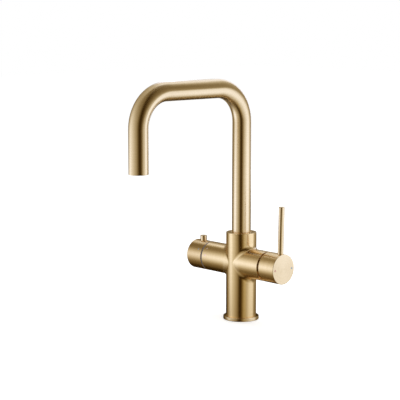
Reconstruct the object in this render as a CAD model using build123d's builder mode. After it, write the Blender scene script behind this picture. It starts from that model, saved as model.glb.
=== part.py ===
from build123d import *
import math
import os

# Boiling water tap: one deck-mounted body with two side arms and a swivelling U-shaped spout.
# The right arm (+X) carries the mixer for hot and cold water, the left arm (-X) the valve for
# boiling water. The spout points to the user, along -Y. Z = 0 is the worktop, and the body
# stands on the Z axis. All sizes are in millimetres.

# Fits and clearances
running_gap = 0.08  # radial, a part that turns or slides in its bore
seal_gap = 0.03  # radial, a seal that wipes a moving part
seat_gap = 0.02  # radial, parts that are assembled for good
face_film = 0.02  # axial, between two polished ceramic faces
end_play = 0.1  # axial, a turning part against its shoulder
free_gap = 0.3  # between parts that move past each other without touching
cut_overrun = 1.0  # how far a cut runs on past the face that it opens

# Directions round the arms' axis, and the screws' key sockets
upwards = 90.0
downwards = -90.0
hex_sides = 6
back_azimuth = 90.0

# Body
body_step = 0.5
body_edge = 0.8
arm_axis_z = 86.0
arm_fillet = 8.0
arm_edge = 0.4

# Ring and gasket on the worktop
base_ring_width = 4.0
base_ring_height = 5.2
base_ring_top_round = 0.8
base_ring_foot_round = 1.0
gasket_width = 2.0
gasket_depth = 1.5

# Fixing thread, hose well and hose ports under the body
shank_thread_radius = 16.5
shank_thread_length = 14.0
well_relief = 1.0
well_roof = 16.4
port_radius = 5.0
port_depth = 10.0
port_spread = 8.2
passage_radius = 2.6
passage_step = 0.2
passage_overrun = 3.4
passage_wall = 1.2

# Spout
pipe_radius = 14.0
pipe_wall = 1.5
spout_reach = 197.5
spout_top_z = 344.3
bend_radius = 50.0
outlet_z = 232.2
sleeve_height = 9.0
sleeve_spigot = 7.0
sleeve_lip_width = 1.0
sleeve_lip_height = 1.6
sleeve_edge = 0.5
aerator_height = 6.0
aerator_wall = 1.25
jet_radius = 0.8
jet_margin = 1.6
inner_jet_count = 12
outer_jet_count = 18
washer_height = 2.0
washer_width = 1.5
nozzle_radius = 4.5
nozzle_length = 11.0
nozzle_inset = 0.8
nozzle_bore = 2.3
inner_tube_radius = 3.2
inner_tube_bore = 2.3
inner_tube_socket = 6.5

# Swivel between the spout and the body
swivel_floor_gap = 1.5
swivel_floor = 2.4
slide_ring_height = 5.0
slide_ring_width = 1.0
slide_ring_inset = 0.3
stub_spigot = 9.0
waterway_count = 6
waterway_radius = 2.3
o_ring_section = 2.0
o_ring_groove = 2.4
o_ring_land = 2.0
inner_seal_section = 1.6
inner_seal_groove = 2.0
stop_screw_radius = 2.5
stop_tip_radius = 1.7
stop_screw_inset = 2.6
stop_socket_radius = 1.25
stop_socket_depth = 2.8
stop_groove_depth = 2.0
stop_seal_land = 2.5
stop_rim_land = 2.6
swivel_half_range = 75.0

# Mixer cartridge, stacked outwards along +X from its seat in the body
mixer_seat = 13.5
mixer_bore_radius = 17.6
nut_thread_step = 1.8
mixer_arm_wall = 2.6
cartridge_wall = 2.2
cartridge_base_length = 3.5
mixer_disc_length = 3.0
mixer_slide_length = 4.0
mixer_slide_play = 0.65
mixing_pocket_wall = 1.0
mixing_pocket_drop = 3.0
mixing_pocket_depth = 1.6
mixer_port_radius = 2.2
inlet_spread = 6.5
inlet_rise = 4.5
outlet_drop = 6.5
inlet_passage_x = 6.5
port_seal_width = 1.2
port_seal_depth = 1.5
carrier_length = 7.5
carrier_step = 0.7
carrier_flat = 8.4
carrier_key = 6.0
carrier_key_length = 1.2
carrier_pocket_depth = 4.7
ball_radius = 3.0
ball_inset = 1.5
ball_play = 0.25
ball_to_pivot = 10.0
neck_radius = 2.2
stem_width = 8.0
stem_heel = 4.0
turret_radius = 10.3
turret_flange_length = 2.2
turret_front = 7.0
cheek_length = 6.5
cheek_thickness = 2.6
cheek_height = 14.0
flow_tilt = 25.0
pivot_pin_radius = 2.0
pin_inset = 0.5
housing_foot_gap = 0.5
housing_shoulder = 4.0
housing_neck = 8.0
housing_neck_wall = 2.1
nut_length = 12.0
nut_notch_count = 6
nut_notch_width = 4.0
nut_notch_depth = 3.0
dome_lip = 4.0
dome_wall = 1.5
dome_opening_angle = 38.0

# Mixer knob and lever
mixer_knob_gap = 3.6
mixer_knob_length = 29.4
mixer_knob_edge = 0.8
knob_wall = 1.5
mixer_cup_depth = 14.4
stem_end_wall = 4.5
handle_screw_radius = 3.0
handle_screw_length = 8.0
handle_screw_inset = 5.0
handle_socket_radius = 1.5
handle_socket_depth = 3.0
lever_radius = 4.2
lever_length = 68.6
lever_inset = 6.2
lever_lean = 1.5
lever_edge = 0.7
lever_seat_depth = 5.0
lever_thread_radius = 3.0
lever_thread_length = 6.0
dot_radius = 1.6
dot_depth = 0.6
dot_rim = 5.0

# Boiling water valve, stacked outwards along -X from its seat in the body
boil_seat = 14.0
boil_gasket_length = 1.0
boil_valve_radius = 11.9
boil_disc_length = 3.5
boil_disc_radius = 9.3
boil_port_offset = 5.0
boil_port_radius = 2.2
boil_inlet_x = 8.5
boil_slot_width = 5.0
boil_slot_length = 15.0
boil_slot_depth = 1.5
boil_foot_length = 4.0
boil_key_width = 12.0
boil_key_height = 5.0
boil_key_length = 1.0
boil_thread_length = 29.0
boil_collar_length = 6.0
boil_collar_play = 0.5
boil_arm_wall = 4.5
boil_neck_radius = 7.4
boil_neck_to_button = 6.0
spindle_radius = 5.0
spindle_tail_radius = 4.0
spindle_tail_length = 6.0
spindle_seal_first = 8.0
spindle_seal_pitch = 5.0
clip_length = 1.0
clip_groove_depth = 0.8
clip_width = 2.4
lock_flange_length = 3.0
lock_ring_wall = 2.5
insulator_spigot = 10.0
insulator_length = 2.6
insulator_inset = 0.3

# Boiling knob and its safety button
boil_knob_length = 30.1
boil_knob_edge = 0.8
boil_knob_wall = 2.0
boil_web_length = 10.0
boil_turn = 90.0
button_to_end = 14.0
button_radius = 5.0
button_stand = 7.5
button_edge = 0.7
button_travel = 2.5
button_flange = 0.8
button_flange_length = 1.0
button_shoulder = 2.4
button_stem_radius = 2.0
button_stem_grip = 1.2
boss_wall = 1.5
retainer_length = 1.4
spring_wire = 0.6
spring_turns = 5
spring_radius = 3.4
knob_screw_radius = 2.5
knob_screw_length = 6.0
knob_screw_inset = 3.0
knob_dot_radius = 1.3
knob_dot_inset = 7.2
knob_dot_angle = 31.0
arm_dot_inset = 7.2
arm_dot_angles = (12.0, 40.0)

# Stations and radii that follow from the sizes above
nut_thread_radius = mixer_bore_radius + nut_thread_step
arm_radius = nut_thread_radius + mixer_arm_wall
knob_radius = arm_radius
body_radius = arm_radius + body_step
base_ring_radius = body_radius + base_ring_width
well_radius = shank_thread_radius + well_relief
swivel_floor_z = arm_axis_z + mixer_bore_radius + swivel_floor
stub_bottom_z = swivel_floor_z + swivel_floor_gap
stop_groove_width = 2 * (stop_tip_radius + free_gap)
seals_top_z = stub_bottom_z + 2 * (o_ring_land + o_ring_groove)
stop_z = seals_top_z + stop_seal_land + stop_groove_width / 2
pipe_foot_z = stop_z + stop_groove_width / 2 + stop_rim_land
body_height = pipe_foot_z + slide_ring_height + slide_ring_inset
well_top_z = arm_axis_z - mixer_bore_radius - well_roof
pipe_end_z = outlet_z + sleeve_height
swivel_bore = pipe_radius + running_gap
slide_ring_outer = swivel_bore + slide_ring_width
stop_groove_radius = pipe_radius - stop_groove_depth
waterway_ring_radius = (inner_tube_radius + pipe_radius - pipe_wall) / 2
inner_seal_major = inner_tube_radius + seal_gap + inner_seal_section / 2
inner_groove_radius = inner_seal_major + inner_seal_section / 2
outlet_passage_x = inner_groove_radius + passage_wall + passage_radius

base_end_x = mixer_seat + cartridge_base_length
fixed_end_x = base_end_x + mixer_disc_length
slide_start_x = fixed_end_x + face_film
slide_end_x = slide_start_x + mixer_slide_length
carrier_end_x = slide_end_x + carrier_length
ball_x = carrier_end_x - ball_inset
pivot_x = ball_x + ball_to_pivot
flange_start_x = carrier_end_x + end_play
flange_end_x = flange_start_x + turret_flange_length
shoulder_x = flange_end_x + end_play
nut_start_x = shoulder_x + housing_shoulder
nut_end_x = nut_start_x + nut_length
mixer_arm_end = nut_end_x + dome_lip
knob_start_x = mixer_arm_end + mixer_knob_gap
knob_face_x = knob_start_x + mixer_knob_length
cup_end_x = knob_start_x + mixer_cup_depth
stem_end_x = knob_face_x - stem_end_wall
housing_radius = mixer_bore_radius - seat_gap
housing_bore = housing_radius - cartridge_wall
neck_bore = turret_radius + running_gap
ball_lift = ball_to_pivot * math.sin(math.radians(flow_tilt))
mixer_slide_radius = housing_bore - ball_lift - mixer_slide_play
mixing_pocket_radius = mixer_slide_radius - mixing_pocket_drop - mixing_pocket_wall
carrier_radius = mixer_slide_radius - carrier_step
fork_top = ball_lift + ball_radius + free_gap
fork_bottom = turret_radius + free_gap
dome_skirt_radius = nut_thread_radius - seat_gap
dome_radius = math.hypot(mixer_arm_end - pivot_x, dome_skirt_radius)

boil_fixed_start = boil_seat + boil_gasket_length
boil_fixed_end = boil_fixed_start + boil_disc_length
boil_slide_start = boil_fixed_end + face_film
boil_slide_end = boil_slide_start + boil_disc_length
boil_foot_end = boil_slide_end + boil_foot_length
boil_cavity_end = boil_foot_end + end_play
boil_collar_start = boil_fixed_start + boil_thread_length
boil_collar_end = boil_collar_start + boil_collar_length
lock_flange_end = boil_collar_end + lock_flange_length
boil_arm_end = lock_flange_end + insulator_spigot
insulator_end = boil_arm_end + insulator_length
boil_knob_start = insulator_end + free_gap
boil_knob_end = boil_knob_start + boil_knob_length
boil_web_start = boil_knob_end - boil_web_length
button_x = boil_knob_end - button_to_end
boil_neck_end = button_x - boil_neck_to_button
boil_counterbore_radius = arm_radius - boil_arm_wall
boil_collar_radius = boil_counterbore_radius - boil_collar_play
boil_cavity_radius = boil_disc_radius + free_gap
boil_spindle_bore = spindle_radius + running_gap
lock_ring_bore = boil_neck_radius + free_gap
lock_ring_radius = lock_ring_bore + lock_ring_wall
lock_sleeve_end = boil_web_start - free_gap
boss_bottom = lock_ring_radius + free_gap
button_bore = button_radius + running_gap
flange_radius = button_radius + button_flange
flange_bore = flange_radius + running_gap
retainer_top = boss_bottom + retainer_length
button_stem_end = lock_ring_bore + button_stem_grip
button_top = knob_radius + button_stand
button_step = knob_radius - button_shoulder
button_flange_top = button_step - seat_gap
button_flange_bottom = button_flange_top - button_flange_length


def disc_z(z_start, z_end, radius, bore=0.0, centre=(0, 0), mode=Mode.ADD):
    """Disc or ring that stands on Z between two heights."""
    with BuildSketch(Plane.XY.offset(z_start)) as section:
        with Locations(centre):
            Circle(radius)
            if bore > 0:
                Circle(bore, mode=Mode.SUBTRACT)
    extrude(section.sketch, amount=z_end - z_start, mode=mode)


def disc_x(x_start, x_end, radius, bore=0.0, centre=(0, 0), mode=Mode.ADD):
    """Disc or ring along X between two stations; centre is (y, z) from the arms' axis."""
    with BuildSketch(Plane.YZ.offset(x_start)) as section:
        with Locations((centre[0], arm_axis_z + centre[1])):
            Circle(radius)
            if bore > 0:
                Circle(bore, mode=Mode.SUBTRACT)
    extrude(section.sketch, amount=x_end - x_start, mode=mode)


def boil_disc(start, end, radius, bore=0.0, centre=(0, 0), mode=Mode.ADD):
    """Disc or ring on the boiling side, between two distances from the body's axis."""
    disc_x(-start, -end, radius, bore, centre, mode)


def block_x(x_start, x_end, width, z_low, z_high, mode=Mode.ADD):
    """Rectangular bar along X; the heights are counted from the arms' axis."""
    with BuildSketch(Plane.YZ.offset(x_start)) as section:
        with Locations((0, arm_axis_z + (z_low + z_high) / 2)):
            Rectangle(width, z_high - z_low)
    extrude(section.sketch, amount=x_end - x_start, mode=mode)


def radial_plane(x, angle, radius):
    """Plane that faces outwards from the arms' axis; angle 0 is the front, 90 the top."""
    out_y = -math.cos(math.radians(angle))
    out_z = math.sin(math.radians(angle))
    point = (x, radius * out_y, arm_axis_z + radius * out_z)
    return Plane(origin=point, x_dir=(1, 0, 0), z_dir=(0, out_y, out_z))


def radial_disc(x, angle, inner, outer, radius, bore=0.0, mode=Mode.ADD):
    """Disc or ring whose axis is square to the arms' axis, between two radii from it."""
    with BuildSketch(radial_plane(x, angle, inner)) as section:
        Circle(radius)
        if bore > 0:
            Circle(bore, mode=Mode.SUBTRACT)
    extrude(section.sketch, amount=outer - inner, mode=mode)


def hex_socket(x, angle, inner, outer, radius):
    """Hexagonal key socket in a screw whose axis is square to the arms' axis."""
    with BuildSketch(radial_plane(x, angle, inner)) as section:
        RegularPolygon(radius, hex_sides)
    extrude(section.sketch, amount=outer - inner, mode=Mode.SUBTRACT)


def upright_plane(azimuth):
    """Plane through the body's axis whose first direction points to an azimuth from +X."""
    cosine = math.cos(math.radians(azimuth))
    sine = math.sin(math.radians(azimuth))
    return Plane(origin=(0, 0, 0), x_dir=(cosine, sine, 0), z_dir=(sine, -cosine, 0))


def seal_on_x(x, major, minor):
    """O-ring about the arms' axis."""
    with BuildSketch(Plane.XZ) as section:
        with Locations((x, arm_axis_z + major)):
            Circle(minor)
    revolve(section.sketch, axis=Axis((0, 0, arm_axis_z), (1, 0, 0)))


def seal_on_z(z, major, minor):
    """O-ring about the body's axis."""
    with BuildSketch(Plane.XZ) as section:
        with Locations((major, z)):
            Circle(minor)
    revolve(section.sketch, axis=Axis.Z)


def finish(part, name):
    """Label a finished piece and write it to its own file."""
    part.label = name
    export_step(part, os.path.join("parts", name + ".step"))


os.makedirs("parts", exist_ok=True)

# Body: a column with two arms, bored for the swivel, both valves and the hoses

with BuildPart() as body:
    disc_z(0, body_height, body_radius)
    disc_x(-boil_arm_end, mixer_arm_end, arm_radius)
    saddles = [e for e in body.edges() if e.geom_type not in (GeomType.CIRCLE, GeomType.LINE)]
    fillet(saddles, radius=arm_fillet)
    fillet(body.edges().filter_by(GeomType.CIRCLE).sort_by(Axis.Z)[-1], radius=body_edge)
    arm_rims = body.edges().filter_by(GeomType.CIRCLE).sort_by(Axis.X)
    fillet([arm_rims[0], arm_rims[-1]], radius=arm_edge)

    # swivel bore, counterbore of the slide ring, and the stop screw's hole in the back
    disc_z(swivel_floor_z, body_height, swivel_bore, mode=Mode.SUBTRACT)
    disc_z(pipe_foot_z, body_height, slide_ring_outer + seat_gap, mode=Mode.SUBTRACT)
    with BuildSketch(Plane.XZ):
        with Locations((0, stop_z)):
            Circle(stop_screw_radius + seat_gap)
    extrude(amount=-(body_radius + cut_overrun), mode=Mode.SUBTRACT)

    # socket and seal groove of the boiling water's tube
    socket_floor_z = swivel_floor_z - inner_tube_socket
    disc_z(socket_floor_z, swivel_floor_z, inner_tube_radius + running_gap, mode=Mode.SUBTRACT)
    inner_seal_z = swivel_floor_z - inner_tube_socket / 2
    disc_z(
        inner_seal_z - inner_seal_groove / 2,
        inner_seal_z + inner_seal_groove / 2,
        inner_groove_radius,
        mode=Mode.SUBTRACT,
    )

    # mixer bore with the nut's thread
    disc_x(mixer_seat, mixer_arm_end, mixer_bore_radius, mode=Mode.SUBTRACT)
    disc_x(nut_start_x, mixer_arm_end, nut_thread_radius, mode=Mode.SUBTRACT)

    # boiling valve's bore and counterbore
    boil_disc(boil_seat, boil_arm_end, boil_valve_radius + seat_gap, mode=Mode.SUBTRACT)
    boil_disc(boil_collar_start, boil_arm_end, boil_counterbore_radius, mode=Mode.SUBTRACT)

    # fixing thread and hose well
    disc_z(0, shank_thread_length, shank_thread_radius, mode=Mode.SUBTRACT)
    disc_z(shank_thread_length, well_top_z, well_radius, mode=Mode.SUBTRACT)

    # hot water comes in at the front, cold at the back: hose port, riser and cross hole
    inlet_z = arm_axis_z + inlet_rise
    cross_radius = passage_radius - passage_step
    for side in (-1, 1):
        port_centre = (inlet_passage_x, side * port_spread)
        riser_centre = (inlet_passage_x, side * inlet_spread)
        disc_z(well_top_z, well_top_z + port_depth, port_radius, centre=port_centre, mode=Mode.SUBTRACT)
        disc_z(
            well_top_z,
            inlet_z + passage_overrun,
            passage_radius,
            centre=riser_centre,
            mode=Mode.SUBTRACT,
        )
        disc_x(
            inlet_passage_x,
            mixer_seat,
            mixer_port_radius,
            centre=(side * inlet_spread, inlet_rise),
            mode=Mode.SUBTRACT,
        )

    # mixed water leaves the cartridge at the bottom and rises to the swivel chamber
    disc_x(outlet_passage_x, mixer_seat, cross_radius, centre=(0, -outlet_drop), mode=Mode.SUBTRACT)
    disc_z(
        arm_axis_z - outlet_drop - passage_overrun,
        swivel_floor_z,
        passage_radius,
        centre=(outlet_passage_x, 0),
        mode=Mode.SUBTRACT,
    )

    # boiling water: port, riser and cross hole to the valve, then back to the central tube
    boil_in_z = arm_axis_z - boil_port_offset
    boil_out_z = arm_axis_z + boil_port_offset
    boil_riser = (-boil_inlet_x, 0)
    disc_z(well_top_z, well_top_z + port_depth, port_radius, centre=boil_riser, mode=Mode.SUBTRACT)
    disc_z(well_top_z, boil_in_z + passage_overrun, passage_radius, centre=boil_riser, mode=Mode.SUBTRACT)
    boil_disc(boil_inlet_x, boil_seat, boil_port_radius, centre=(0, -boil_port_offset), mode=Mode.SUBTRACT)
    boil_disc(0, boil_seat, boil_port_radius, centre=(0, boil_port_offset), mode=Mode.SUBTRACT)
    disc_z(boil_out_z - passage_overrun, socket_floor_z, inner_tube_bore, mode=Mode.SUBTRACT)

    # pockets of the two small marks on the boiling arm
    arm_dot_x = -(boil_arm_end - arm_dot_inset)
    for angle in arm_dot_angles:
        radial_disc(
            arm_dot_x,
            angle,
            arm_radius - dot_depth,
            arm_radius + cut_overrun,
            knob_dot_radius + seat_gap,
            mode=Mode.SUBTRACT,
        )
finish(body.part, "body")

# Ring and gasket on the worktop

with BuildPart() as base_ring:
    disc_z(0, base_ring_height, base_ring_radius)
    rims = base_ring.edges().filter_by(GeomType.CIRCLE).sort_by(Axis.Z)
    fillet(rims[-1], radius=base_ring_top_round)
    fillet(rims[0], radius=base_ring_foot_round)
    disc_z(0, base_ring_height, body_radius + seat_gap, mode=Mode.SUBTRACT)
    foot_outer = base_ring_radius - base_ring_foot_round
    gasket_inner = (body_radius + foot_outer - gasket_width) / 2
    gasket_outer = gasket_inner + gasket_width
    disc_z(0, gasket_depth, gasket_outer + seat_gap, gasket_inner - seat_gap, mode=Mode.SUBTRACT)
finish(base_ring.part, "base_ring")

with BuildPart() as deck_gasket:
    disc_z(0, gasket_depth, gasket_outer, gasket_inner)
finish(deck_gasket.part, "deck_gasket")

# Spout: a bent pipe with the boiling water's own tube inside it

with BuildPart() as spout_tube:
    with BuildLine(Plane.YZ):
        FilletPolyline(
            (0, pipe_foot_z),
            (0, spout_top_z),
            (-spout_reach, spout_top_z),
            (-spout_reach, pipe_end_z),
            radius=bend_radius,
        )
    with BuildSketch(Plane.XY.offset(pipe_foot_z)):
        Circle(pipe_radius)
        Circle(pipe_radius - pipe_wall, mode=Mode.SUBTRACT)
    sweep()
finish(spout_tube.part, "spout_tube")

inner_tube_foot_z = socket_floor_z + end_play
inner_tube_end_z = outlet_z + nozzle_inset + nozzle_length - inner_tube_socket

with BuildPart() as boiling_inner_tube:
    with BuildLine(Plane.YZ):
        FilletPolyline(
            (0, inner_tube_foot_z),
            (0, spout_top_z),
            (-spout_reach, spout_top_z),
            (-spout_reach, inner_tube_end_z),
            radius=bend_radius,
        )
    with BuildSketch(Plane.XY.offset(inner_tube_foot_z)):
        Circle(inner_tube_radius)
        Circle(inner_tube_bore, mode=Mode.SUBTRACT)
    sweep()
finish(boiling_inner_tube.part, "boiling_inner_tube")

# Swivel stub: brazed into the foot of the pipe, with two O-rings, six waterways and a stop groove

stub_major = swivel_bore - seal_gap - o_ring_section / 2
stub_groove_radius = stub_major - o_ring_section / 2
first_seal_z = stub_bottom_z + o_ring_land + o_ring_groove / 2
second_seal_z = first_seal_z + o_ring_groove + o_ring_land
swivel_seals = (first_seal_z, second_seal_z)

with BuildPart() as swivel_stub:
    disc_z(stub_bottom_z, pipe_foot_z, pipe_radius)
    disc_z(pipe_foot_z, pipe_foot_z + stub_spigot, pipe_radius - pipe_wall - seat_gap)
    for seal_z in swivel_seals:
        disc_z(
            seal_z - o_ring_groove / 2,
            seal_z + o_ring_groove / 2,
            pipe_radius + cut_overrun,
            stub_groove_radius,
            mode=Mode.SUBTRACT,
        )
    disc_z(
        stub_bottom_z,
        pipe_foot_z + stub_spigot,
        inner_tube_radius + seat_gap,
        mode=Mode.SUBTRACT,
    )
    with BuildSketch(Plane.XY.offset(stub_bottom_z)):
        with PolarLocations(waterway_ring_radius, waterway_count):
            Circle(waterway_radius)
    extrude(amount=pipe_foot_z + stub_spigot - stub_bottom_z, mode=Mode.SUBTRACT)

    # the stop groove runs round the back, as far as the spout turns each way
    tip_half_angle = math.degrees(math.asin((stop_tip_radius + free_gap) / stop_groove_radius))
    groove_half_angle = swivel_half_range + tip_half_angle
    groove_depth = pipe_radius + cut_overrun - stop_groove_radius
    with BuildSketch(upright_plane(back_azimuth - groove_half_angle)) as groove_section:
        with Locations((stop_groove_radius + groove_depth / 2, stop_z)):
            Rectangle(groove_depth, stop_groove_width)
    revolve(
        groove_section.sketch,
        axis=Axis.Z,
        revolution_arc=2 * groove_half_angle,
        mode=Mode.SUBTRACT,
    )
finish(swivel_stub.part, "swivel_stub")

with BuildPart() as swivel_o_rings:
    for seal_z in swivel_seals:
        seal_on_z(seal_z, stub_major, o_ring_section / 2)
finish(swivel_o_rings.part, "swivel_o_rings")

with BuildPart() as spout_slide_ring:
    disc_z(pipe_foot_z, body_height - slide_ring_inset, slide_ring_outer, swivel_bore)
finish(spout_slide_ring.part, "spout_slide_ring")

with BuildPart() as spout_stop_screw:
    tip_end_y = stop_groove_radius + free_gap
    thread_start_y = swivel_bore + free_gap
    screw_end_y = body_radius - stop_screw_inset
    with BuildSketch(Plane.XZ.offset(-tip_end_y)):
        with Locations((0, stop_z)):
            Circle(stop_tip_radius)
    extrude(amount=-(thread_start_y - tip_end_y))
    with BuildSketch(Plane.XZ.offset(-thread_start_y)):
        with Locations((0, stop_z)):
            Circle(stop_screw_radius)
    extrude(amount=thread_start_y - screw_end_y)
    with BuildSketch(Plane.XZ.offset(-screw_end_y)):
        with Locations((0, stop_z)):
            RegularPolygon(stop_socket_radius, hex_sides)
    extrude(amount=stop_socket_depth, mode=Mode.SUBTRACT)
finish(spout_stop_screw.part, "spout_stop_screw")

with BuildPart() as inner_tube_o_ring:
    seal_on_z(inner_seal_z, inner_seal_major, inner_seal_section / 2)
finish(inner_tube_o_ring.part, "inner_tube_o_ring")

# Outlet: sleeve with the aerator for mixed water, and the nozzle for boiling water in its middle

outlet_centre = (0, -spout_reach)
sleeve_spigot_radius = pipe_radius - pipe_wall - seat_gap
sleeve_bore = sleeve_spigot_radius - aerator_wall
sleeve_lip_radius = sleeve_bore - sleeve_lip_width
jet_rings = (
    (nozzle_radius + jet_margin, inner_jet_count),
    (sleeve_lip_radius - jet_margin, outer_jet_count),
)
aerator_foot_z = outlet_z + sleeve_lip_height
aerator_top_z = aerator_foot_z + aerator_height
nozzle_foot_z = outlet_z + nozzle_inset
nozzle_top_z = nozzle_foot_z + nozzle_length

with BuildPart() as outlet_sleeve:
    disc_z(outlet_z, pipe_end_z, pipe_radius, centre=outlet_centre)
    fillet(outlet_sleeve.edges().filter_by(GeomType.CIRCLE).sort_by(Axis.Z)[0], radius=sleeve_edge)
    disc_z(pipe_end_z, pipe_end_z + sleeve_spigot, sleeve_spigot_radius, centre=outlet_centre)
    disc_z(
        aerator_foot_z,
        pipe_end_z + sleeve_spigot,
        sleeve_bore,
        centre=outlet_centre,
        mode=Mode.SUBTRACT,
    )
    disc_z(outlet_z, aerator_foot_z, sleeve_lip_radius, centre=outlet_centre, mode=Mode.SUBTRACT)
finish(outlet_sleeve.part, "outlet_sleeve")

with BuildPart() as aerator_insert:
    disc_z(
        aerator_foot_z,
        aerator_top_z,
        sleeve_bore - seat_gap,
        nozzle_radius + seat_gap,
        centre=outlet_centre,
    )
    with BuildSketch(Plane.XY.offset(aerator_foot_z)) as jets:
        with Locations(outlet_centre):
            for ring_radius, jet_count in jet_rings:
                with PolarLocations(ring_radius, jet_count):
                    Circle(jet_radius)
    extrude(jets.sketch, amount=aerator_height, mode=Mode.SUBTRACT)
finish(aerator_insert.part, "aerator_insert")

with BuildPart() as aerator_washer:
    washer_outer = sleeve_bore - seat_gap
    disc_z(
        aerator_top_z,
        aerator_top_z + washer_height,
        washer_outer,
        washer_outer - washer_width,
        centre=outlet_centre,
    )
finish(aerator_washer.part, "aerator_washer")

with BuildPart() as boiling_nozzle:
    disc_z(nozzle_foot_z, nozzle_top_z, nozzle_radius, nozzle_bore, centre=outlet_centre)
    disc_z(
        inner_tube_end_z,
        nozzle_top_z,
        inner_tube_radius + seat_gap,
        centre=outlet_centre,
        mode=Mode.SUBTRACT,
    )
finish(boiling_nozzle.part, "boiling_nozzle")

# Mixer cartridge: seals, base, two ceramic discs, carrier, turret, stem, housing, nut and dome

mixer_ports = ((-inlet_spread, inlet_rise), (inlet_spread, inlet_rise), (0, -outlet_drop))
port_seal_radius = mixer_port_radius + port_seal_width

with BuildPart() as cartridge_seals:
    for port in mixer_ports:
        disc_x(
            mixer_seat,
            mixer_seat + port_seal_depth,
            port_seal_radius,
            mixer_port_radius,
            centre=port,
        )
finish(cartridge_seals.part, "cartridge_seals")

with BuildPart() as cartridge_base:
    disc_x(mixer_seat, base_end_x, housing_bore - seat_gap)
    for port in mixer_ports:
        disc_x(mixer_seat, base_end_x, mixer_port_radius, centre=port, mode=Mode.SUBTRACT)
        disc_x(
            mixer_seat,
            mixer_seat + port_seal_depth,
            port_seal_radius + seat_gap,
            centre=port,
            mode=Mode.SUBTRACT,
        )
finish(cartridge_base.part, "cartridge_base")

with BuildPart() as mixer_fixed_disc:
    disc_x(base_end_x, fixed_end_x, housing_bore - seat_gap)
    for port in mixer_ports:
        disc_x(base_end_x, fixed_end_x, mixer_port_radius, centre=port, mode=Mode.SUBTRACT)
finish(mixer_fixed_disc.part, "mixer_fixed_disc")

with BuildPart() as mixer_moving_disc:
    disc_x(slide_start_x, slide_end_x, mixer_slide_radius)
    disc_x(
        slide_start_x,
        slide_start_x + mixing_pocket_depth,
        mixing_pocket_radius,
        centre=(0, -mixing_pocket_drop),
        mode=Mode.SUBTRACT,
    )
    key_recess = carrier_key + 2 * seat_gap
    block_x(
        slide_end_x - carrier_key_length - seat_gap,
        slide_end_x,
        key_recess,
        -key_recess / 2,
        key_recess / 2,
        mode=Mode.SUBTRACT,
    )
finish(mixer_moving_disc.part, "mixer_moving_disc")

with BuildPart() as disc_carrier:
    disc_x(slide_end_x, carrier_end_x, carrier_radius)
    block_x(
        slide_end_x,
        carrier_end_x,
        2 * carrier_flat,
        -carrier_radius,
        carrier_radius,
        mode=Mode.INTERSECT,
    )
    block_x(slide_end_x - carrier_key_length, slide_end_x, carrier_key, -carrier_key / 2, carrier_key / 2)
    disc_x(
        carrier_end_x - carrier_pocket_depth,
        carrier_end_x,
        ball_radius + ball_play,
        mode=Mode.SUBTRACT,
    )
finish(disc_carrier.part, "disc_carrier")

with BuildPart() as cartridge_turret:
    cheek_centre = carrier_flat + free_gap + cheek_thickness / 2
    with BuildSketch(Plane.YZ.offset(flange_start_x)) as cheeks:
        with Locations((-cheek_centre, arm_axis_z), (cheek_centre, arm_axis_z)):
            Rectangle(cheek_thickness, cheek_height)
    extrude(cheeks.sketch, amount=-cheek_length)
    disc_x(flange_start_x - cheek_length, flange_start_x, housing_bore - free_gap, mode=Mode.INTERSECT)
    disc_x(flange_start_x, flange_end_x, housing_bore - free_gap)
    disc_x(flange_end_x, pivot_x + turret_front, turret_radius)
    block_x(
        flange_start_x,
        pivot_x + turret_front,
        stem_width + 2 * free_gap,
        -fork_bottom,
        fork_top,
        mode=Mode.SUBTRACT,
    )
    with BuildSketch(Plane.XZ) as pin_hole:
        with Locations((pivot_x, arm_axis_z)):
            Circle(pivot_pin_radius + seat_gap)
    extrude(pin_hole.sketch, amount=turret_radius + cut_overrun, both=True, mode=Mode.SUBTRACT)
finish(cartridge_turret.part, "cartridge_turret")

with BuildPart() as pivot_pin:
    with BuildSketch(Plane.XZ):
        with Locations((pivot_x, arm_axis_z)):
            Circle(pivot_pin_radius)
    extrude(amount=turret_radius - pin_inset, both=True)
finish(pivot_pin.part, "pivot_pin")

with BuildPart() as lever_stem:
    with Locations((ball_x, 0, arm_axis_z)):
        Sphere(ball_radius)
    disc_x(ball_x, pivot_x - stem_heel, neck_radius)
    block_x(pivot_x - stem_heel, stem_end_x, stem_width, -stem_width / 2, stem_width / 2)
    with BuildSketch(Plane.XZ) as stem_hole:
        with Locations((pivot_x, arm_axis_z)):
            Circle(pivot_pin_radius + running_gap)
    extrude(stem_hole.sketch, amount=stem_width, both=True, mode=Mode.SUBTRACT)
finish(lever_stem.part, "lever_stem")

neck_outer = neck_bore + housing_neck_wall

with BuildPart() as cartridge_housing:
    disc_x(mixer_seat + housing_foot_gap, nut_start_x, housing_radius, housing_bore)
    disc_x(shoulder_x, nut_start_x, housing_radius, neck_bore)
    disc_x(nut_start_x, nut_start_x + housing_neck, neck_outer, neck_bore)
finish(cartridge_housing.part, "cartridge_housing")

with BuildPart() as cartridge_nut:
    disc_x(nut_start_x, nut_end_x, nut_thread_radius - seat_gap, neck_outer + free_gap)
    notch_centre = (nut_thread_radius + neck_outer) / 2
    with BuildSketch(Plane.YZ.offset(nut_end_x)) as notches:
        with Locations((0, arm_axis_z)):
            with PolarLocations(notch_centre, nut_notch_count):
                Rectangle(nut_thread_radius - neck_outer + cut_overrun, nut_notch_width)
    extrude(notches.sketch, amount=-nut_notch_depth, mode=Mode.SUBTRACT)
finish(cartridge_nut.part, "cartridge_nut")

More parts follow.
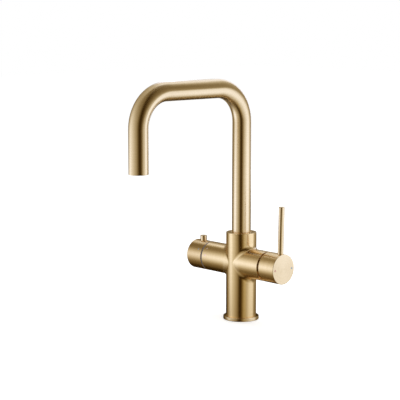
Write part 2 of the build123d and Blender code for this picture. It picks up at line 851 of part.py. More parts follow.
with BuildPart() as dome_cover:
    dome_centre = (pivot_x, arm_axis_z)
    inner_radius = dome_radius - dome_wall
    skirt_inner = dome_skirt_radius - dome_wall
    outer_angle = math.degrees(math.asin(dome_skirt_radius / dome_radius))
    inner_angle = math.degrees(math.asin(skirt_inner / inner_radius))
    with BuildSketch(Plane.XZ):
        with BuildLine():
            outer_arc = CenterArc(
                dome_centre,
                dome_radius,
                dome_opening_angle,
                outer_angle - dome_opening_angle,
            )
            inner_arc = CenterArc(
                dome_centre,
                inner_radius,
                dome_opening_angle,
                inner_angle - dome_opening_angle,
            )
            Line(outer_arc @ 0, inner_arc @ 0)
            Polyline(
                outer_arc @ 1,
                (nut_end_x, arm_axis_z + dome_skirt_radius),
                (nut_end_x, arm_axis_z + skirt_inner),
                inner_arc @ 1,
            )
        make_face()
    revolve(axis=Axis((0, 0, arm_axis_z), (1, 0, 0)))
finish(dome_cover.part, "dome_cover")

# Mixer knob with its lever, grub screw and two marks

dot_ring_radius = knob_radius - dot_rim
lever_x = knob_face_x - lever_inset
lean_sine = math.sin(math.radians(lever_lean))
lean_cosine = math.cos(math.radians(lever_lean))
lever_plane = Plane(
    origin=(lever_x, 0, arm_axis_z + knob_radius),
    x_dir=(lean_cosine, 0, -lean_sine),
    z_dir=(lean_sine, 0, lean_cosine),
)
handle_screw_x = cup_end_x + handle_screw_inset

with BuildPart() as mixer_knob:
    disc_x(knob_start_x, knob_face_x, knob_radius)
    knob_rims = mixer_knob.edges().filter_by(GeomType.CIRCLE).sort_by(Axis.X)
    fillet(knob_rims[-1], radius=mixer_knob_edge)
    fillet(knob_rims[0], radius=arm_edge)
    disc_x(knob_start_x, cup_end_x, knob_radius - knob_wall, mode=Mode.SUBTRACT)
    stem_hole_width = stem_width + 2 * seat_gap
    block_x(
        cup_end_x,
        stem_end_x + seat_gap,
        stem_hole_width,
        -stem_hole_width / 2,
        stem_hole_width / 2,
        mode=Mode.SUBTRACT,
    )
    with BuildSketch(lever_plane.offset(-lever_seat_depth)) as lever_socket:
        Circle(lever_radius + seat_gap)
    extrude(lever_socket.sketch, amount=lever_seat_depth + cut_overrun, mode=Mode.SUBTRACT)
    with BuildSketch(lever_plane.offset(-lever_seat_depth)) as lever_thread:
        Circle(lever_thread_radius + seat_gap)
    extrude(lever_thread.sketch, amount=-(lever_thread_length + seat_gap), mode=Mode.SUBTRACT)
    radial_disc(
        handle_screw_x,
        downwards,
        stem_width / 2,
        knob_radius + cut_overrun,
        handle_screw_radius + seat_gap,
        mode=Mode.SUBTRACT,
    )
    for side in (-1, 1):
        disc_x(
            knob_face_x - dot_depth,
            knob_face_x,
            dot_radius + seat_gap,
            centre=(side * dot_ring_radius, 0),
            mode=Mode.SUBTRACT,
        )
finish(mixer_knob.part, "mixer_knob")

with BuildPart() as mixer_lever:
    with BuildSketch(lever_plane.offset(-lever_seat_depth)) as rod:
        Circle(lever_radius)
    extrude(rod.sketch, amount=lever_seat_depth + lever_length)
    fillet(mixer_lever.edges().filter_by(GeomType.CIRCLE).sort_by(Axis.Z)[-1], radius=lever_edge)
    with BuildSketch(lever_plane.offset(-lever_seat_depth)) as thread:
        Circle(lever_thread_radius)
    extrude(thread.sketch, amount=-lever_thread_length)
finish(mixer_lever.part, "mixer_lever")

with BuildPart() as handle_grub_screw:
    handle_screw_start = stem_width / 2 + seat_gap
    handle_screw_end = handle_screw_start + handle_screw_length
    radial_disc(handle_screw_x, downwards, handle_screw_start, handle_screw_end, handle_screw_radius)
    hex_socket(
        handle_screw_x,
        downwards,
        handle_screw_end - handle_socket_depth,
        handle_screw_end,
        handle_socket_radius,
    )
finish(handle_grub_screw.part, "handle_grub_screw")

with BuildPart() as hot_dot:
    disc_x(knob_face_x - dot_depth, knob_face_x, dot_radius, centre=(-dot_ring_radius, 0))
finish(hot_dot.part, "hot_dot")

with BuildPart() as cold_dot:
    disc_x(knob_face_x - dot_depth, knob_face_x, dot_radius, centre=(dot_ring_radius, 0))
finish(cold_dot.part, "cold_dot")

# Boiling valve: gasket, housing, two ceramic discs, spindle with seals and clip, lock and insulator

boil_ports = ((0, -boil_port_offset), (0, boil_port_offset))

with BuildPart() as boil_valve_gasket:
    boil_disc(boil_seat, boil_fixed_start, boil_valve_radius - free_gap)
    for port in boil_ports:
        boil_disc(boil_seat, boil_fixed_start, boil_port_radius, centre=port, mode=Mode.SUBTRACT)
finish(boil_valve_gasket.part, "boil_valve_gasket")

with BuildPart() as boil_valve_housing:
    boil_disc(boil_fixed_start, boil_collar_start, boil_valve_radius)
    with BuildSketch(Plane.YZ.offset(-boil_collar_start)) as collar:
        with Locations((0, arm_axis_z)):
            RegularPolygon(boil_collar_radius, hex_sides)
    extrude(collar.sketch, amount=-boil_collar_length)
    boil_disc(boil_collar_end, boil_neck_end, boil_neck_radius)
    boil_disc(boil_fixed_start, boil_cavity_end, boil_cavity_radius, mode=Mode.SUBTRACT)
    boil_disc(boil_cavity_end, boil_neck_end, boil_spindle_bore, mode=Mode.SUBTRACT)
finish(boil_valve_housing.part, "boil_valve_housing")

with BuildPart() as boil_fixed_disc:
    boil_disc(boil_fixed_start, boil_fixed_end, boil_disc_radius)
    for port in boil_ports:
        boil_disc(boil_fixed_start, boil_fixed_end, boil_port_radius, centre=port, mode=Mode.SUBTRACT)
finish(boil_fixed_disc.part, "boil_fixed_disc")

with BuildPart() as boil_moving_disc:
    boil_disc(boil_slide_start, boil_slide_end, boil_disc_radius)
    block_x(
        -boil_slide_start,
        -(boil_slide_start + boil_slot_depth),
        boil_slot_length,
        -boil_slot_width / 2,
        boil_slot_width / 2,
        mode=Mode.SUBTRACT,
    )
    block_x(
        -(boil_slide_end - boil_key_length - seat_gap),
        -boil_slide_end,
        boil_key_width + 2 * seat_gap,
        -boil_key_height / 2 - seat_gap,
        boil_key_height / 2 + seat_gap,
        mode=Mode.SUBTRACT,
    )
finish(boil_moving_disc.part, "boil_moving_disc")

spindle_seal_major = boil_spindle_bore - seal_gap - inner_seal_section / 2
spindle_groove_radius = spindle_seal_major - inner_seal_section / 2
first_spindle_seal = boil_foot_end + spindle_seal_first
spindle_seals = (first_spindle_seal, first_spindle_seal + spindle_seal_pitch)
clip_start = boil_neck_end + free_gap
clip_groove_radius = spindle_radius - clip_groove_depth

with BuildPart() as boil_spindle:
    boil_disc(boil_slide_end, boil_foot_end, boil_disc_radius)
    block_x(
        -(boil_slide_end - boil_key_length),
        -boil_slide_end,
        boil_key_width,
        -boil_key_height / 2,
        boil_key_height / 2,
    )
    boil_disc(boil_foot_end, boil_web_start, spindle_radius)
    boil_disc(boil_web_start, boil_web_start + spindle_tail_length, spindle_tail_radius)
    for seal_x in spindle_seals:
        boil_disc(
            seal_x - inner_seal_groove / 2,
            seal_x + inner_seal_groove / 2,
            spindle_radius + cut_overrun,
            spindle_groove_radius,
            mode=Mode.SUBTRACT,
        )
    boil_disc(
        clip_start,
        clip_start + clip_length,
        spindle_radius + cut_overrun,
        clip_groove_radius,
        mode=Mode.SUBTRACT,
    )
finish(boil_spindle.part, "boil_spindle")

with BuildPart() as spindle_o_rings:
    for seal_x in spindle_seals:
        seal_on_x(-seal_x, spindle_seal_major, inner_seal_section / 2)
finish(spindle_o_rings.part, "spindle_o_rings")

with BuildPart() as spindle_clip:
    clip_bore = clip_groove_radius + seat_gap
    boil_disc(clip_start, clip_start + clip_length, clip_bore + clip_width, clip_bore)
    block_x(
        -clip_start,
        -(clip_start + clip_length),
        clip_bore,
        -(clip_bore + clip_width),
        0,
        mode=Mode.SUBTRACT,
    )
finish(spindle_clip.part, "spindle_clip")

with BuildPart() as lock_ring:
    boil_disc(boil_collar_end, lock_flange_end, boil_counterbore_radius - seat_gap, lock_ring_bore)
    boil_disc(lock_flange_end, lock_sleeve_end, lock_ring_radius, lock_ring_bore)

    # the button's stem runs in this slot, whose ends stop the knob after its quarter turn
    slot_half_width = button_stem_radius + free_gap
    slot_half_angle = math.degrees(math.asin(slot_half_width / lock_ring_bore))
    start_angle = upwards + slot_half_angle
    start_y = -math.cos(math.radians(start_angle))
    start_z = math.sin(math.radians(start_angle))
    slot_plane = Plane(
        origin=(0, 0, arm_axis_z),
        x_dir=(1, 0, 0),
        z_dir=(0, -start_z, start_y),
    )
    slot_depth = lock_ring_wall + 2 * cut_overrun
    with BuildSketch(slot_plane) as slot_section:
        with Locations((-button_x, lock_ring_bore - cut_overrun + slot_depth / 2)):
            Rectangle(2 * slot_half_width, slot_depth)
    revolve(
        slot_section.sketch,
        axis=Axis((0, 0, arm_axis_z), (1, 0, 0)),
        revolution_arc=boil_turn + 2 * slot_half_angle,
        mode=Mode.SUBTRACT,
    )
finish(lock_ring.part, "lock_ring")

with BuildPart() as insulator_ring:
    insulator_bore = lock_ring_radius + free_gap
    boil_disc(lock_flange_end, boil_arm_end, boil_counterbore_radius - seat_gap, insulator_bore)
    boil_disc(boil_arm_end, insulator_end, arm_radius - insulator_inset, insulator_bore)
finish(insulator_ring.part, "insulator_ring")

# Boiling knob with the safety button that is pressed before it can be turned

knob_dot_x = -(boil_knob_start + knob_dot_inset)
knob_screw_x = -(boil_web_start + knob_screw_inset)

with BuildPart() as boil_knob:
    boil_disc(boil_knob_start, boil_knob_end, knob_radius)
    knob_rims = boil_knob.edges().filter_by(GeomType.CIRCLE).sort_by(Axis.X)
    fillet(knob_rims[0], radius=boil_knob_edge)
    fillet(knob_rims[-1], radius=arm_edge)
    boil_disc(boil_knob_start, boil_web_start, knob_radius - boil_knob_wall, mode=Mode.SUBTRACT)
    radial_disc(-button_x, upwards, boss_bottom, knob_radius - boil_knob_wall / 2, flange_bore + boss_wall)
    radial_disc(-button_x, upwards, boss_bottom, button_step, flange_bore, mode=Mode.SUBTRACT)
    radial_disc(-button_x, upwards, button_step, knob_radius + cut_overrun, button_bore, mode=Mode.SUBTRACT)
    boil_disc(
        boil_web_start,
        boil_web_start + spindle_tail_length + seat_gap,
        spindle_tail_radius + seat_gap,
        mode=Mode.SUBTRACT,
    )
    radial_disc(
        knob_screw_x,
        downwards,
        spindle_tail_radius - cut_overrun,
        knob_radius + cut_overrun,
        knob_screw_radius + seat_gap,
        mode=Mode.SUBTRACT,
    )
    radial_disc(
        knob_dot_x,
        knob_dot_angle,
        knob_radius - dot_depth,
        knob_radius + cut_overrun,
        knob_dot_radius + seat_gap,
        mode=Mode.SUBTRACT,
    )
finish(boil_knob.part, "boil_knob")

with BuildPart() as knob_grub_screw:
    knob_screw_start = spindle_tail_radius + seat_gap
    knob_screw_end = knob_screw_start + knob_screw_length
    radial_disc(knob_screw_x, downwards, knob_screw_start, knob_screw_end, knob_screw_radius)
    hex_socket(
        knob_screw_x,
        downwards,
        knob_screw_end - handle_socket_depth,
        knob_screw_end,
        stop_socket_radius,
    )
finish(knob_grub_screw.part, "knob_grub_screw")

with BuildPart() as lock_button:
    radial_disc(-button_x, upwards, button_flange_bottom, button_top, button_radius)
    fillet(lock_button.edges().filter_by(GeomType.CIRCLE).sort_by(Axis.Z)[-1], radius=button_edge)
    radial_disc(-button_x, upwards, button_flange_bottom, button_flange_top, flange_radius)
    radial_disc(-button_x, upwards, button_stem_end, button_flange_bottom, button_stem_radius)
finish(lock_button.part, "lock_button")

with BuildPart() as button_retainer:
    radial_disc(
        -button_x,
        upwards,
        boss_bottom,
        retainer_top,
        flange_bore - seat_gap,
        button_stem_radius + running_gap,
    )
finish(button_retainer.part, "button_retainer")

spring_low = retainer_top + spring_wire / 2 + seat_gap
spring_high = button_flange_bottom - spring_wire / 2 - seat_gap
spring_height = spring_high - spring_low

with BuildPart() as button_spring:
    with BuildLine(radial_plane(-button_x, upwards, spring_low)) as coil:
        Helix(pitch=spring_height / spring_turns, height=spring_height, radius=spring_radius)
    with BuildSketch(Plane(origin=coil.line @ 0, z_dir=coil.line % 0)):
        Circle(spring_wire / 2)
    sweep(is_frenet=True)
finish(button_spring.part, "button_spring")

# Small marks let into the knob and the arm

with BuildPart() as boil_index_dot:
    radial_disc(
        knob_dot_x,
        knob_dot_angle,
        knob_radius - dot_depth,
        knob_radius + cut_overrun,
        knob_dot_radius,
    )
    boil_disc(boil_knob_start, boil_knob_end, knob_radius, mode=Mode.INTERSECT)
finish(boil_index_dot.part, "boil_index_dot")

with BuildPart() as arm_index_dots:
    for angle in arm_dot_angles:
        radial_disc(
            arm_dot_x,
            angle,
            arm_radius - dot_depth,
            arm_radius + cut_overrun,
            knob_dot_radius,
        )
    boil_disc(0, boil_arm_end, arm_radius, mode=Mode.INTERSECT)
finish(arm_index_dots.part, "arm_index_dots")

# The spring's least gap between neighbouring turns, with the button up and pressed

coil_pitch = spring_height / spring_turns
pressed_pitch = (spring_height - button_travel) / spring_turns
print("button spring: gap between turns", round(coil_pitch - spring_wire, 2), "mm at rest")
print("button spring: gap between turns", round(pressed_pitch - spring_wire, 2), "mm pressed")
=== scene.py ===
"""Looks of the boiling water tap: brushed gold in a tent of soft light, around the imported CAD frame.

Lengths are in metres. The tent's azimuths and elevations are in degrees.
"""

import math

import bmesh
import bpy
from mathutils import Matrix, Vector


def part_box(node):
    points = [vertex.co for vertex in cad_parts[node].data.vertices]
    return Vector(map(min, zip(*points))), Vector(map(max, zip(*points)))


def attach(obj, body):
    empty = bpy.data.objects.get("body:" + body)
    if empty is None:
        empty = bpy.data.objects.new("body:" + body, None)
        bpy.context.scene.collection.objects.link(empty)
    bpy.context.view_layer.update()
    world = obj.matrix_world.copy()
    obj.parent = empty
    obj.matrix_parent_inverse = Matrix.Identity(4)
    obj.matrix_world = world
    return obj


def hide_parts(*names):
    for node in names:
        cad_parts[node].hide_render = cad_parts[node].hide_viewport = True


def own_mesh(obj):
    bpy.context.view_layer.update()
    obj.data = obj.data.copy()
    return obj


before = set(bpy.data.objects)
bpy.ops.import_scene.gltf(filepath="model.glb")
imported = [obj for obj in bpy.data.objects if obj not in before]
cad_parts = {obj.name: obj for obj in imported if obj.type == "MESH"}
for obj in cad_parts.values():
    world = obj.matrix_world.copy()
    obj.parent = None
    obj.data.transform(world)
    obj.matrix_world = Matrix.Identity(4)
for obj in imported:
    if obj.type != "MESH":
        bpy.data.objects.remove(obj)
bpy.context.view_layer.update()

# Camera, fitted to the tap's edges in the photograph: it stands to the right of the spout and a
# little above the tap, and looks slightly past the tap's axis.
camera_azimuth = math.radians(45.64)
camera_distance = 2.013
camera_height = 0.4647
camera_yaw = math.radians(1.74)
camera_pitch = math.radians(8.11)
camera_focal_px = 1379.1
picture_px = 400
sensor_mm = 36.0

# Light tent: a dome that only reflections see. Azimuths count from the user's side, -Y, towards the
# mixer's side, +X, and run from -90 to 270, which takes a shift. Elevations count from the dome's
# middle.
tent_radius = 0.36
tent_centre = Vector((0, -0.1, 0.18))
tent_segments = 64
tent_rings = 32
azimuth_shift = 90.0
tent_floor_light = 0.165
tent_wall_light = 0.059
tent_wall_rise = (-62, -22)
# Soft panels: brightness, azimuths where it rises and falls, elevations where it rises and falls. A
# panel runs on to the dome's top or seam where its limit lies beyond them.
panels = {
    "left_window": (0.726, (-100, -62), (-52, -23), (-62, -4), (-22, 29)),
    "left_cloth": (0.731, (-89, -25), (-42, 48), (-95, -7), (21, 64)),
    "left_roof": (0.53, (-91, -87), (-28, 15), (22, 112), (97, 187)),
    "front_window": (0.807, (52, 100), (54, 112), (-56, -48), (-3, 1)),
    "right_cloth": (0.606, (60, 95), (156, 193), (-54, 21), (-23, 61)),
    "right_window": (0.526, (85, 136), (149, 166), (-95, -45), (30, 35)),
    "back_wall": (1.05, (184, 191), (217, 221), (-6, -2), (29, 76)),
    "back_roof": (0.808, (132, 186), (237, 326), (26, 86), (97, 179)),
    "back_corner": (1.38, (213, 238), (229, 262), (-40, -13), (60, 64)),
}
# Dark stretches, from the floor up: the share of light that each takes, azimuths where it begins and
# ends, elevations over which it gives out.
dark_stretches = {
    "camera_gap": (0.809, (19, 50), (45, 102), (69, 76)),
    "rear_gap": (0.497, (195, 200), (256, 260), (4, 60)),
    "rear_shade": (0.6, (193, 208), (240, 262), (-2, 18)),
}
# Gain and power of the panels' light, and of green and blue against red: dim cloth looks warmer.
tent_light = (1.035, 1.06)
tent_green = (1.095, 1.2)
tent_blue = (1.377, 1.7)
# A yellow glow low on the right: the shares of green and blue that it takes, and where.
low_glow = (0.07, 0.34, (45, 62), (92, 106), (-22, -12))

# Floor, sky and lamp, which matt surfaces see. The floor lies just under the tap's foot, so that the
# two faces don't flicker. Floor and sky are brighter to the camera, which makes them white.
floor_size = 12
floor_height = -0.0002
floor_grain = 300.0
floor_dark = (0.83, 0.83, 0.83)
floor_pale = (0.85, 0.85, 0.85)
floor_glow = 0.47
sky_light = 0.65
sky_glow = 0.35
lamp_size = 1.4
lamp_power = 14
lamp_place = (-0.5, 0.3, 1.6)
lamp_target = (0, -0.05, 0.1)

# Working lines of the turned pieces: the direction of each axis and a point on it.
column_axis = ("Z", (0, 0, 0))
arm_axis = ("X", (0, 0, 0.086))
outlet_axis = ("Z", (0, -0.1975, 0))
lever_axis = ("Z", (0.0807, 0, 0))
button_axis = ("Z", (-0.082, 0, 0))
# The bent pipe's middle line: its height, its reach and the radius of its bends.
pipe_top = 0.3443
pipe_reach = 0.1975
pipe_bend = 0.05

# Where one look gives way to the next. Outside the column, the body is brushed about the arms' axis.
# Inside its foot it is bare brass, up to the well's roof. The knob's face is paler than its side.
column_radius = 0.0225
arm_brushing = (column_radius + 0.0006, column_radius + 0.0075)
well_side = (column_radius - 0.0025, column_radius - 0.002)
well_roof = (0.058, 0.06)
knob_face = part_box("mixer_knob")[1][0]
face_edge = (knob_face - 0.0011, knob_face - 0.0003)

# The safety button's spring.
spring_wire = 0.0003
spring_radius = 0.0034
spring_turns = 5
spring_steps = 36
spring_sides = 12

# Plating, as it looks under white light: the pipe and the knob's face are paler than the casting,
# and the boiling knob is a little darker.
pale_gold = (0.892, 0.686, 0.40)
deep_gold = (0.892, 0.648, 0.325)
dim_gold = (0.82, 0.58, 0.285)
raw_brass = (0.72, 0.50, 0.22)
dark_brass = (0.62, 0.42, 0.17)
brass_roughness = 0.32
pale_steel = (0.66, 0.65, 0.63)
dark_steel = (0.56, 0.55, 0.53)
steel_roughness = 0.3

# Most values of a noise lie in its core, and nearly all in its reach.
noise_core = (0.3, 0.7)
noise_reach = (0.25, 0.75)

# Brush marks in the plating: how often they change, per metre across their lines and per radian along
# them, and the place in the noise that the cloud is taken from.
scratch_scale = (3600.0, 1.3)
cloud_scale = (620.0, 0.6)
cloud_place = 7.0
scratch_tint = (0.93, 0.91, 0.86)
scratch_tint_share = 0.35
cloud_tint = (0.975, 0.97, 0.95)
# A quarter turn, so that reflections smear across the lines.
smear_turn = 0.25
# Roughness, what the marks take from it and add to it, and the marks' depth and strength.
gold_roughness = 0.20
gold_gloss = (0.015, 0.02)
gold_relief = (0.000003, 0.35)

# Rings that a lathe leaves, per metre and per radian, with what they do to roughness and relief.
ring_scale = (2600.0, 0.5)
ring_gloss = (0.04, 0.05)
ring_relief = (0.00001, 0.4)

# Grain of moulded, cast or enamelled stock, per metre: fine grain and the clouds over it.
grain_scale = 900.0
grain_detail = (3.0, 0.6)
grain_clouds = 108.0
grain_cloud_share = 0.6
grain_gloss = 0.04
grain_relief_strength = 0.5


def place_camera():
    """The photograph's own camera, with colours shown as they are."""
    azimuth = camera_azimuth + camera_yaw
    forward = Vector(
        (
            -math.sin(azimuth) * math.cos(camera_pitch),
            math.cos(azimuth) * math.cos(camera_pitch),
            -math.sin(camera_pitch),
        )
    )
    right = Vector((math.cos(azimuth), math.sin(azimuth), 0))
    up = right.cross(forward)
    data = bpy.data.cameras.new("camera")
    data.sensor_width = sensor_mm
    data.lens = camera_focal_px * sensor_mm / picture_px
    camera = bpy.data.objects.new("camera", data)
    bpy.context.scene.collection.objects.link(camera)
    turn = Matrix((right, up, -forward)).transposed()
    place = Vector(
        (
            math.sin(camera_azimuth) * camera_distance,
            -math.cos(camera_azimuth) * camera_distance,
            camera_height,
        )
    )
    camera.matrix_world = Matrix.Translation(place) @ turn.to_4x4()
    bpy.context.scene.camera = camera
    bpy.context.scene.view_settings.view_transform = "Standard"


class Graph:
    """Short calls for a tree of shader nodes. An input may be a value or another node's output."""

    def __init__(self, tree):
        self.tree = tree
        self.nodes = tree.nodes
        self.nodes.clear()

    def node(self, kind, inputs=(), **settings):
        made = self.nodes.new(kind)
        for name, value in settings.items():
            setattr(made, name, value)
        for socket, value in dict(inputs).items():
            self.put(made.inputs[socket], value)
        return made

    def put(self, socket, value):
        if isinstance(value, bpy.types.NodeSocket):
            self.tree.links.new(value, socket)
        else:
            socket.default_value = value

    def math(self, operation, *values):
        return self.node("ShaderNodeMath", enumerate(values), operation=operation).outputs[0]

    def product(self, first, *others):
        for other in others:
            first = self.math("MULTIPLY", first, other)
        return first

    def distance(self, a, b):
        """Length of the vector (a, b)."""
        squares = self.math("ADD", self.math("MULTIPLY", a, a), self.math("MULTIPLY", b, b))
        return self.math("SQRT", squares)

    def cross(self, a, b):
        """Cross product of two vectors."""
        return self.node("ShaderNodeVectorMath", {0: a, 1: b}, operation="CROSS_PRODUCT").outputs[0]

    def curve(self, value, gain, power):
        return self.product(self.math("POWER", value, power), gain)

    def dim(self, value, mask, share):
        """The value less a share of it where the mask is one."""
        return self.product(value, self.math("MULTIPLY_ADD", mask, -share, 1.0))

    def step(self, value, start, end, low=0.0, high=1.0):
        """Smooth step from low to high as value goes from start to end."""
        inputs = {0: value, 1: start, 2: end, 3: low, 4: high}
        return self.node("ShaderNodeMapRange", inputs, interpolation_type="SMOOTHSTEP").outputs[0]

    def fall(self, value, start, end):
        """Smooth step down from one to zero."""
        return self.step(value, start, end, 1.0, 0.0)

    def band(self, value, rise, fall):
        """One between rise and fall, zero outside them."""
        return self.math("MULTIPLY", self.step(value, *rise), self.fall(value, *fall))

    def split(self, vector):
        return self.node("ShaderNodeSeparateXYZ", {0: vector}).outputs

    def join(self, x, y, z):
        return self.node("ShaderNodeCombineXYZ", {0: x, 1: y, 2: z}).outputs[0]

    def place(self):
        """The point on the piece, which rides with the piece."""
        return self.node("ShaderNodeTexCoord").outputs["Object"]

    def noise(self, vector, scale=1.0, detail=2.0, roughness=0.5):
        inputs = {"Vector": vector, "Scale": scale, "Detail": detail, "Roughness": roughness}
        return self.node("ShaderNodeTexNoise", inputs).outputs["Fac"]

    def mix(self, share, low, high, blend="MIX"):
        """Mix of two colours or vectors, which go into the node's sockets 6 and 7."""
        made = self.node("ShaderNodeMix", data_type="RGBA", blend_type=blend)
        self.put(made.inputs[0], share)
        self.put(made.inputs[6], low)
        self.put(made.inputs[7], high)
        return made.outputs[2]

    def blend(self, share, low, high):
        """Mix of two numbers."""
        return self.node("ShaderNodeMix", {0: share, 2: low, 3: high}, data_type="FLOAT").outputs[0]

    def bump(self, height, distance, strength):
        inputs = {"Height": height, "Distance": distance, "Strength": strength}
        return self.node("ShaderNodeBump", inputs).outputs[0]

    def finish(self, kind, inputs, output="ShaderNodeOutputMaterial"):
        """The last shader, and the tree's output."""
        shader = self.node(kind, inputs)
        out = self.node(output)
        self.tree.links.new(shader.outputs[0], out.inputs[0])


def make_material(name):
    material = bpy.data.materials.new(name)
    material.use_nodes = True
    return material, Graph(material.node_tree)


def rgb(red, green, blue):
    return (red, green, blue, 1.0)


def turned_lines(graph, axis, centre):
    """On a turned piece: the place along its axis, the angle round it, the distance from it, and the
    direction that a line round it runs in."""
    x, y, z = graph.split(graph.place())
    if axis == "Z":
        along = z
        a = graph.math("SUBTRACT", x, centre[0])
        b = graph.math("SUBTRACT", y, centre[1])
        line = graph.join(graph.product(b, -1.0), a, 0.0)
    else:
        along = x
        a = graph.math("SUBTRACT", y, centre[1])
        b = graph.math("SUBTRACT", z, centre[2])
        line = graph.join(0.0, graph.product(b, -1.0), a)
    return along, graph.math("ARCTAN2", a, b), graph.distance(a, b), line


def brush_marks(graph, along, around, radial):
    """Lines round a turned piece, from 0 to 1: fine scratches, and the wide cloud that they make."""
    lines = graph.math("ADD", along, radial)

    def marks(scale, place):
        across_lines, along_lines = scale
        return graph.join(graph.product(lines, across_lines), graph.product(around, along_lines), place)

    scratch = marks(scratch_scale, 0.0)
    cloud = marks(cloud_scale, cloud_place)
    return graph.noise(scratch), graph.noise(cloud)


def gold_shader(graph, fine, wide, gold, lines):
    """Satin gold plating. Its brush lines smear reflections across them, and vary colour and gloss."""
    clouded = graph.mix(graph.step(wide, *noise_core), gold, rgb(*cloud_tint), "MULTIPLY")
    scratched = graph.step(fine, *noise_reach, 0.0, scratch_tint_share)
    tone = graph.mix(scratched, clouded, rgb(*scratch_tint), "MULTIPLY")
    world_lines = graph.node(
        "ShaderNodeVectorTransform",
        {0: lines},
        vector_type="VECTOR",
        convert_from="OBJECT",
        convert_to="WORLD",
    )
    smooth, rough = gold_roughness - gold_gloss[0], gold_roughness + gold_gloss[1]
    inputs = {
        "Base Color": tone,
        "Metallic": 1.0,
        "Roughness": graph.step(wide, *noise_reach, smooth, rough),
        "Anisotropic": 1.0,
        "Anisotropic Rotation": smear_turn,
        "Tangent": world_lines.outputs[0],
        "Normal": graph.bump(fine, *gold_relief),
    }
    graph.finish("ShaderNodeBsdfPrincipled", inputs)


def turned_gold(name, axis, centre, gold=pale_gold):
    """A piece brushed round its own axis."""
    material, graph = make_material(name)
    along, around, radial, lines = turned_lines(graph, axis, centre)
    gold_shader(graph, *brush_marks(graph, along, around, radial), rgb(*gold), lines)
    return material


def knob_gold(name):
    """The mixer knob: turned about the arm's axis, with a paler end face."""
    material, graph = make_material(name)
    along, around, radial, lines = turned_lines(graph, *arm_axis)
    gold = graph.mix(graph.step(along, *face_edge), rgb(*deep_gold), rgb(*pale_gold))
    gold_shader(graph, *brush_marks(graph, along, around, radial), gold, lines)
    return material


def casting_gold(name):
    """The body: brushed round the column, and round the arms' own axis outside it. The thread and the
    well for the hoses, inside its foot, are bare brass."""
    material, graph = make_material(name)
    *column, column_lines = turned_lines(graph, *column_axis)
    *arm, arm_lines = turned_lines(graph, *arm_axis)
    height, _, radius = column
    on_arm = graph.step(radius, *arm_brushing)
    fine_column, wide_column = brush_marks(graph, *column)
    fine_arm, wide_arm = brush_marks(graph, *arm)
    fine = graph.blend(on_arm, fine_column, fine_arm)
    wide = graph.blend(on_arm, wide_column, wide_arm)
    lines = graph.mix(on_arm, column_lines, arm_lines)
    inside = graph.product(graph.fall(radius, *well_side), graph.fall(height, *well_roof))
    gold_shader(graph, fine, wide, graph.mix(inside, rgb(*deep_gold), rgb(*raw_brass)), lines)
    return material


def pipe_gold(name):
    """The bent pipe, brushed round its run: the lines cross the pipe squarely, in its bends too."""
    material, graph = make_material(name)
    x, y, z = graph.split(graph.place())
    # How far the point lies beyond the bends' centres, sideways and upwards.
    half = pipe_reach / 2
    y = graph.math("ADD", y, half)
    side = graph.math("ADD", graph.math("ABSOLUTE", y), pipe_bend - half)
    top = graph.math("ADD", z, pipe_bend - pipe_top)
    side_out = graph.math("MAXIMUM", side, 0.0)
    top_out = graph.math("MAXIMUM", top, 0.0)
    # Out from the middle line, and along it.
    outward = graph.math("SUBTRACT", graph.distance(side_out, top_out), pipe_bend)
    bent = graph.product(graph.math("ARCTAN2", top_out, side_out), pipe_bend)
    level = graph.math("MINIMUM", side, 0.0)
    run = graph.math("SUBTRACT", graph.math("ADD", bent, graph.math("MINIMUM", top, 0.0)), level)
    fine, wide = brush_marks(graph, run, graph.math("ARCTAN2", x, outward), 0.0)
    # A line lies in the surface, square to the run.
    tilt = graph.product(graph.math("SIGN", y), side_out)
    across = graph.cross(graph.join(0.0, tilt, top_out), (1, 0, 0))
    normal = graph.node("ShaderNodeTexCoord").outputs["Normal"]
    gold_shader(graph, fine, wide, rgb(*pale_gold), graph.cross(normal, across))
    return material


def speckled(name, colour, spread, roughness, metallic=0.0, relief=0.00002):
    """Moulded, cast or enamelled stock: a fine grain that varies colour, gloss and surface."""
    material, graph = make_material(name)
    place = graph.place()
    clouds = graph.product(graph.noise(place, grain_clouds), grain_cloud_share)
    fine = graph.noise(place, grain_scale, *grain_detail)
    both = graph.math("ADD", clouds, graph.product(fine, 1 - grain_cloud_share))
    low = rgb(*(c * (1 - spread) for c in colour))
    high = rgb(*(min(1.0, c * (1 + spread)) for c in colour))
    smooth, rough = roughness - grain_gloss, roughness + grain_gloss
    inputs = {
        "Base Color": graph.mix(graph.step(both, *noise_core), low, high),
        "Metallic": metallic,
        "Roughness": graph.step(fine, *noise_core, smooth, rough),
        "Normal": graph.bump(fine, relief, grain_relief_strength),
    }
    graph.finish("ShaderNodeBsdfPrincipled", inputs)
    return material


def turned_metal(name, axis, centre, colour, dark, roughness):
    """Plain turned metal, with the lathe's fine rings."""
    material, graph = make_material(name)
    along, around, radial, _ = turned_lines(graph, axis, centre)
    across_rings, along_rings = ring_scale
    rings = graph.product(graph.math("ADD", along, radial), across_rings)
    fine = graph.noise(graph.join(rings, graph.product(around, along_rings), 0.0))
    smooth, rough = roughness - ring_gloss[0], roughness + ring_gloss[1]
    inputs = {
        "Base Color": graph.mix(graph.step(fine, *noise_core), rgb(*dark), rgb(*colour)),
        "Metallic": 1.0,
        "Roughness": graph.step(fine, *noise_core, smooth, rough),
        "Normal": graph.bump(fine, *ring_relief),
    }
    graph.finish("ShaderNodeBsdfPrincipled", inputs)
    return material


